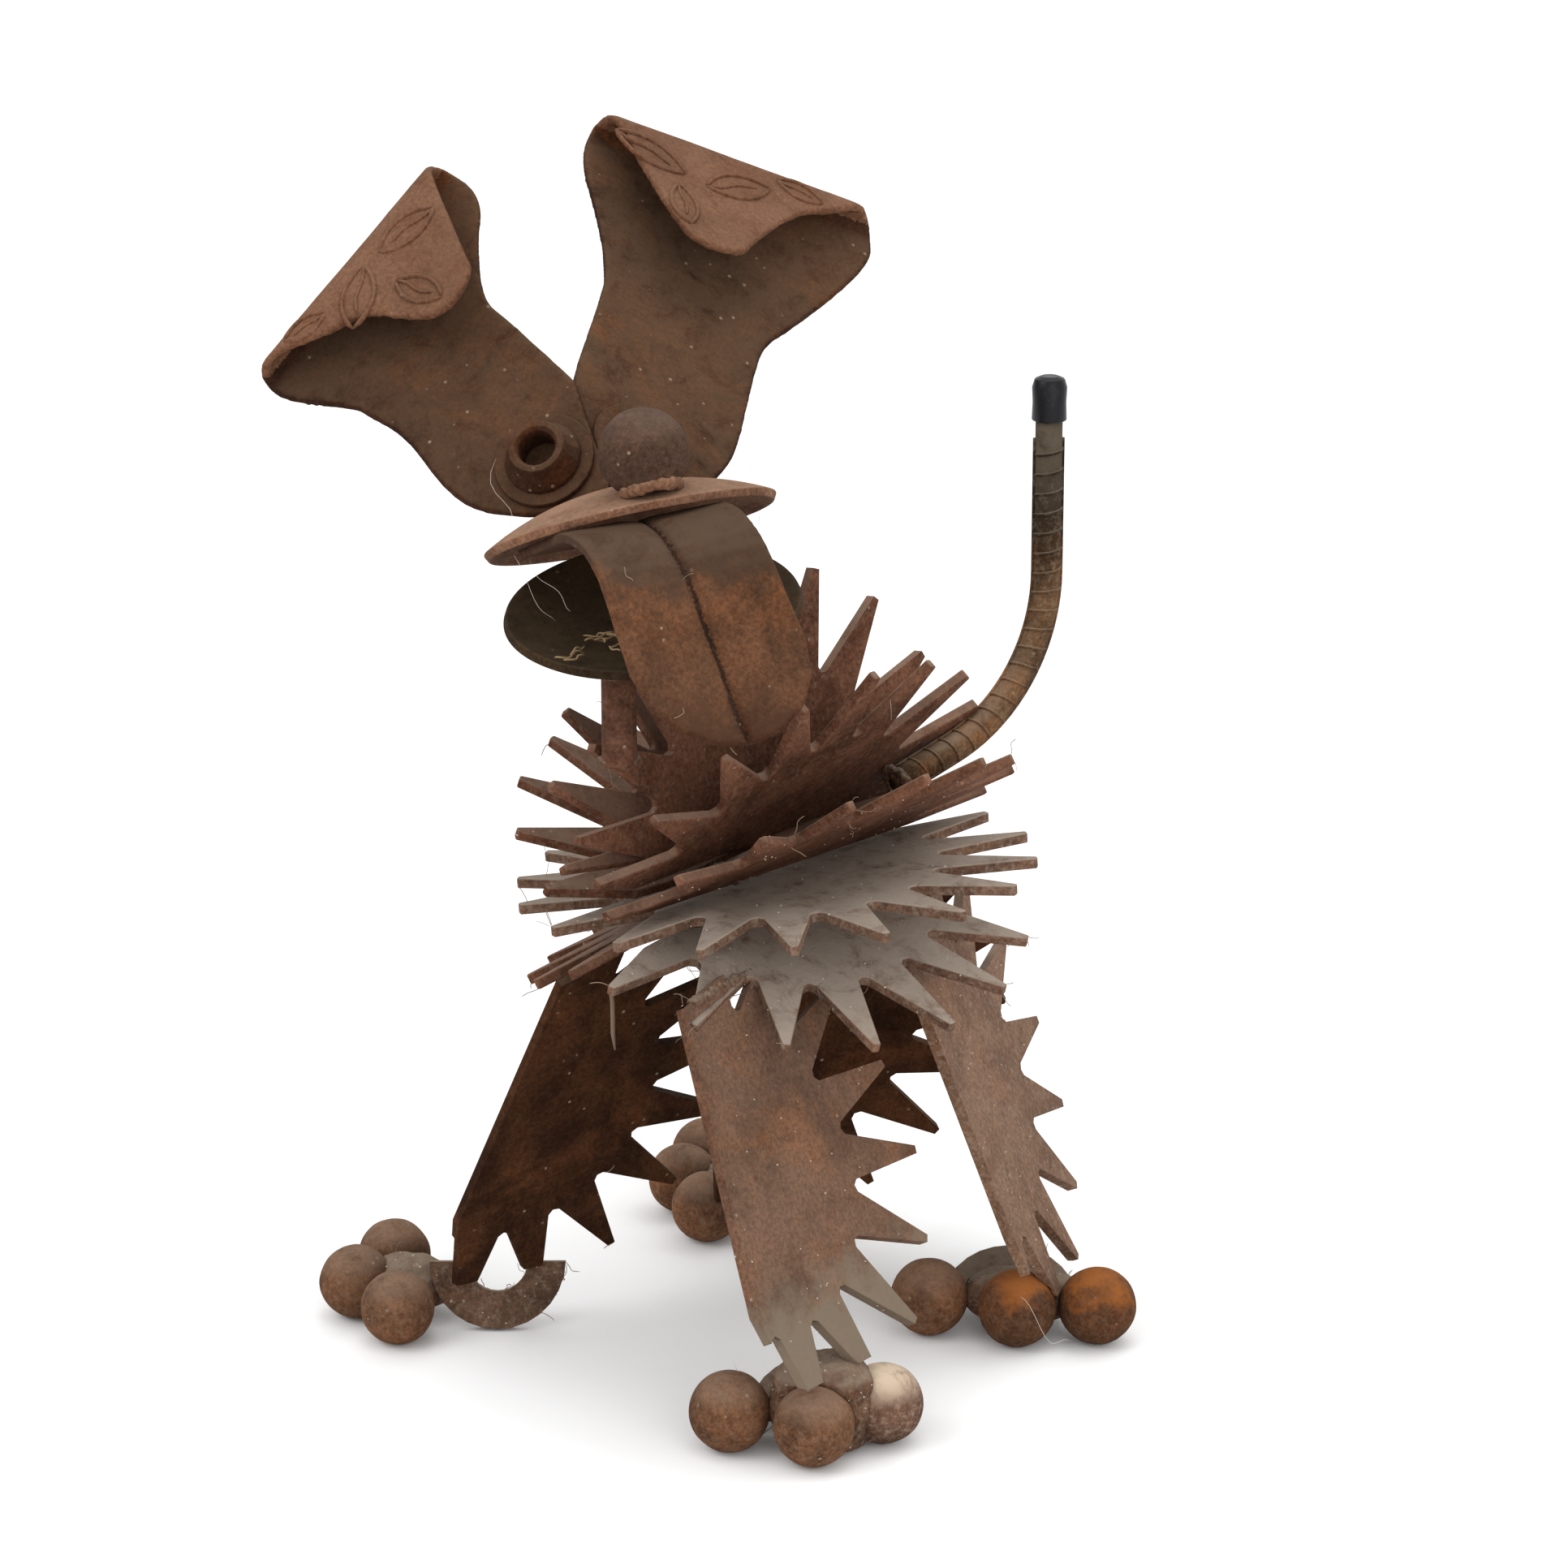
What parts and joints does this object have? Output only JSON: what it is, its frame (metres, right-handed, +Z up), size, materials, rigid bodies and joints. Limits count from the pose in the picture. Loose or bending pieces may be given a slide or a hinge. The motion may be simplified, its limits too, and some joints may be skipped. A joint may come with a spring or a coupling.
{
  "type": "scrap metal dog sculpture",
  "caption": "Welded dog sculpture with a fan of toothed half discs for a body, toothed plate legs on ball feet, a dish mouth with a hanging tongue, folded ears and an upright bar tail.",
  "frame": {"origin": "centre of the bounding box's base, on the ground under the body", "axes": "+Z up; the body's front towards -Y and its left side towards +X; the head is turned towards +X and -Y"},
  "size_m": [0.376, 0.338, 0.5224],
  "materials": {
    "rusted_plate": "dark brown rust with pale dust",
    "rusted_head_sheet": "brown to orange rust",
    "rusted_ball": "purple brown rust, orange in places",
    "rusted_bar": "olive brown rust",
    "weld_metal": "lumpy weld, dusty",
    "black_vinyl": "satin black, slightly worn"
  },
  "bodies": {
    "root": {"ear_left": "rusted_head_sheet", "ear_right": "rusted_head_sheet", "eye_bushing_left": "rusted_head_sheet", "eye_bushing_right": "rusted_head_sheet", "eye_washer_left": "rusted_head_sheet", "eye_washer_right": "rusted_head_sheet", "fan_full_disc": "rusted_plate", "fan_left_lower_half": "rusted_plate", "fan_left_raised_half": "rusted_plate", "fan_left_steep_half": "rusted_plate", "fan_right_lower_half": "rusted_plate", "fan_right_raised_half": "rusted_plate", "fan_right_steep_half": "rusted_plate", "fan_upright_half": "rusted_plate", "foot_weld_front_left": "weld_metal", "foot_weld_front_right": "weld_metal", "foot_weld_rear_left": "weld_metal", "foot_weld_rear_right": "weld_metal", "heel_front_left": "rusted_plate", "heel_front_right": "rusted_plate", "heel_rear_left": "rusted_plate", "heel_rear_right": "rusted_plate", "leg_front_left": "rusted_plate", "leg_front_right": "rusted_plate", "leg_rear_left": "rusted_plate", "leg_rear_right": "rusted_plate", "lower_jaw_dish": "rusted_head_sheet", "neck_rod": "rusted_bar", "nose_ball": "rusted_ball", "tail_cap": "black_vinyl", "tail_rod": "rusted_bar", "toe_front_left_inner": "rusted_ball", "toe_front_left_middle": "rusted_ball", "toe_front_left_outer": "rusted_ball", "toe_front_right_inner": "rusted_ball", "toe_front_right_middle": "rusted_ball", "toe_front_right_outer": "rusted_ball", "toe_rear_left_inner": "rusted_ball", "toe_rear_left_middle": "rusted_ball", "toe_rear_left_outer": "rusted_ball", "toe_rear_right_inner": "rusted_ball", "toe_rear_right_middle": "rusted_ball", "toe_rear_right_outer": "rusted_ball", "tongue_plate": "rusted_head_sheet", "upper_lip_dish": "rusted_head_sheet"}
  },
  "joints": []
}
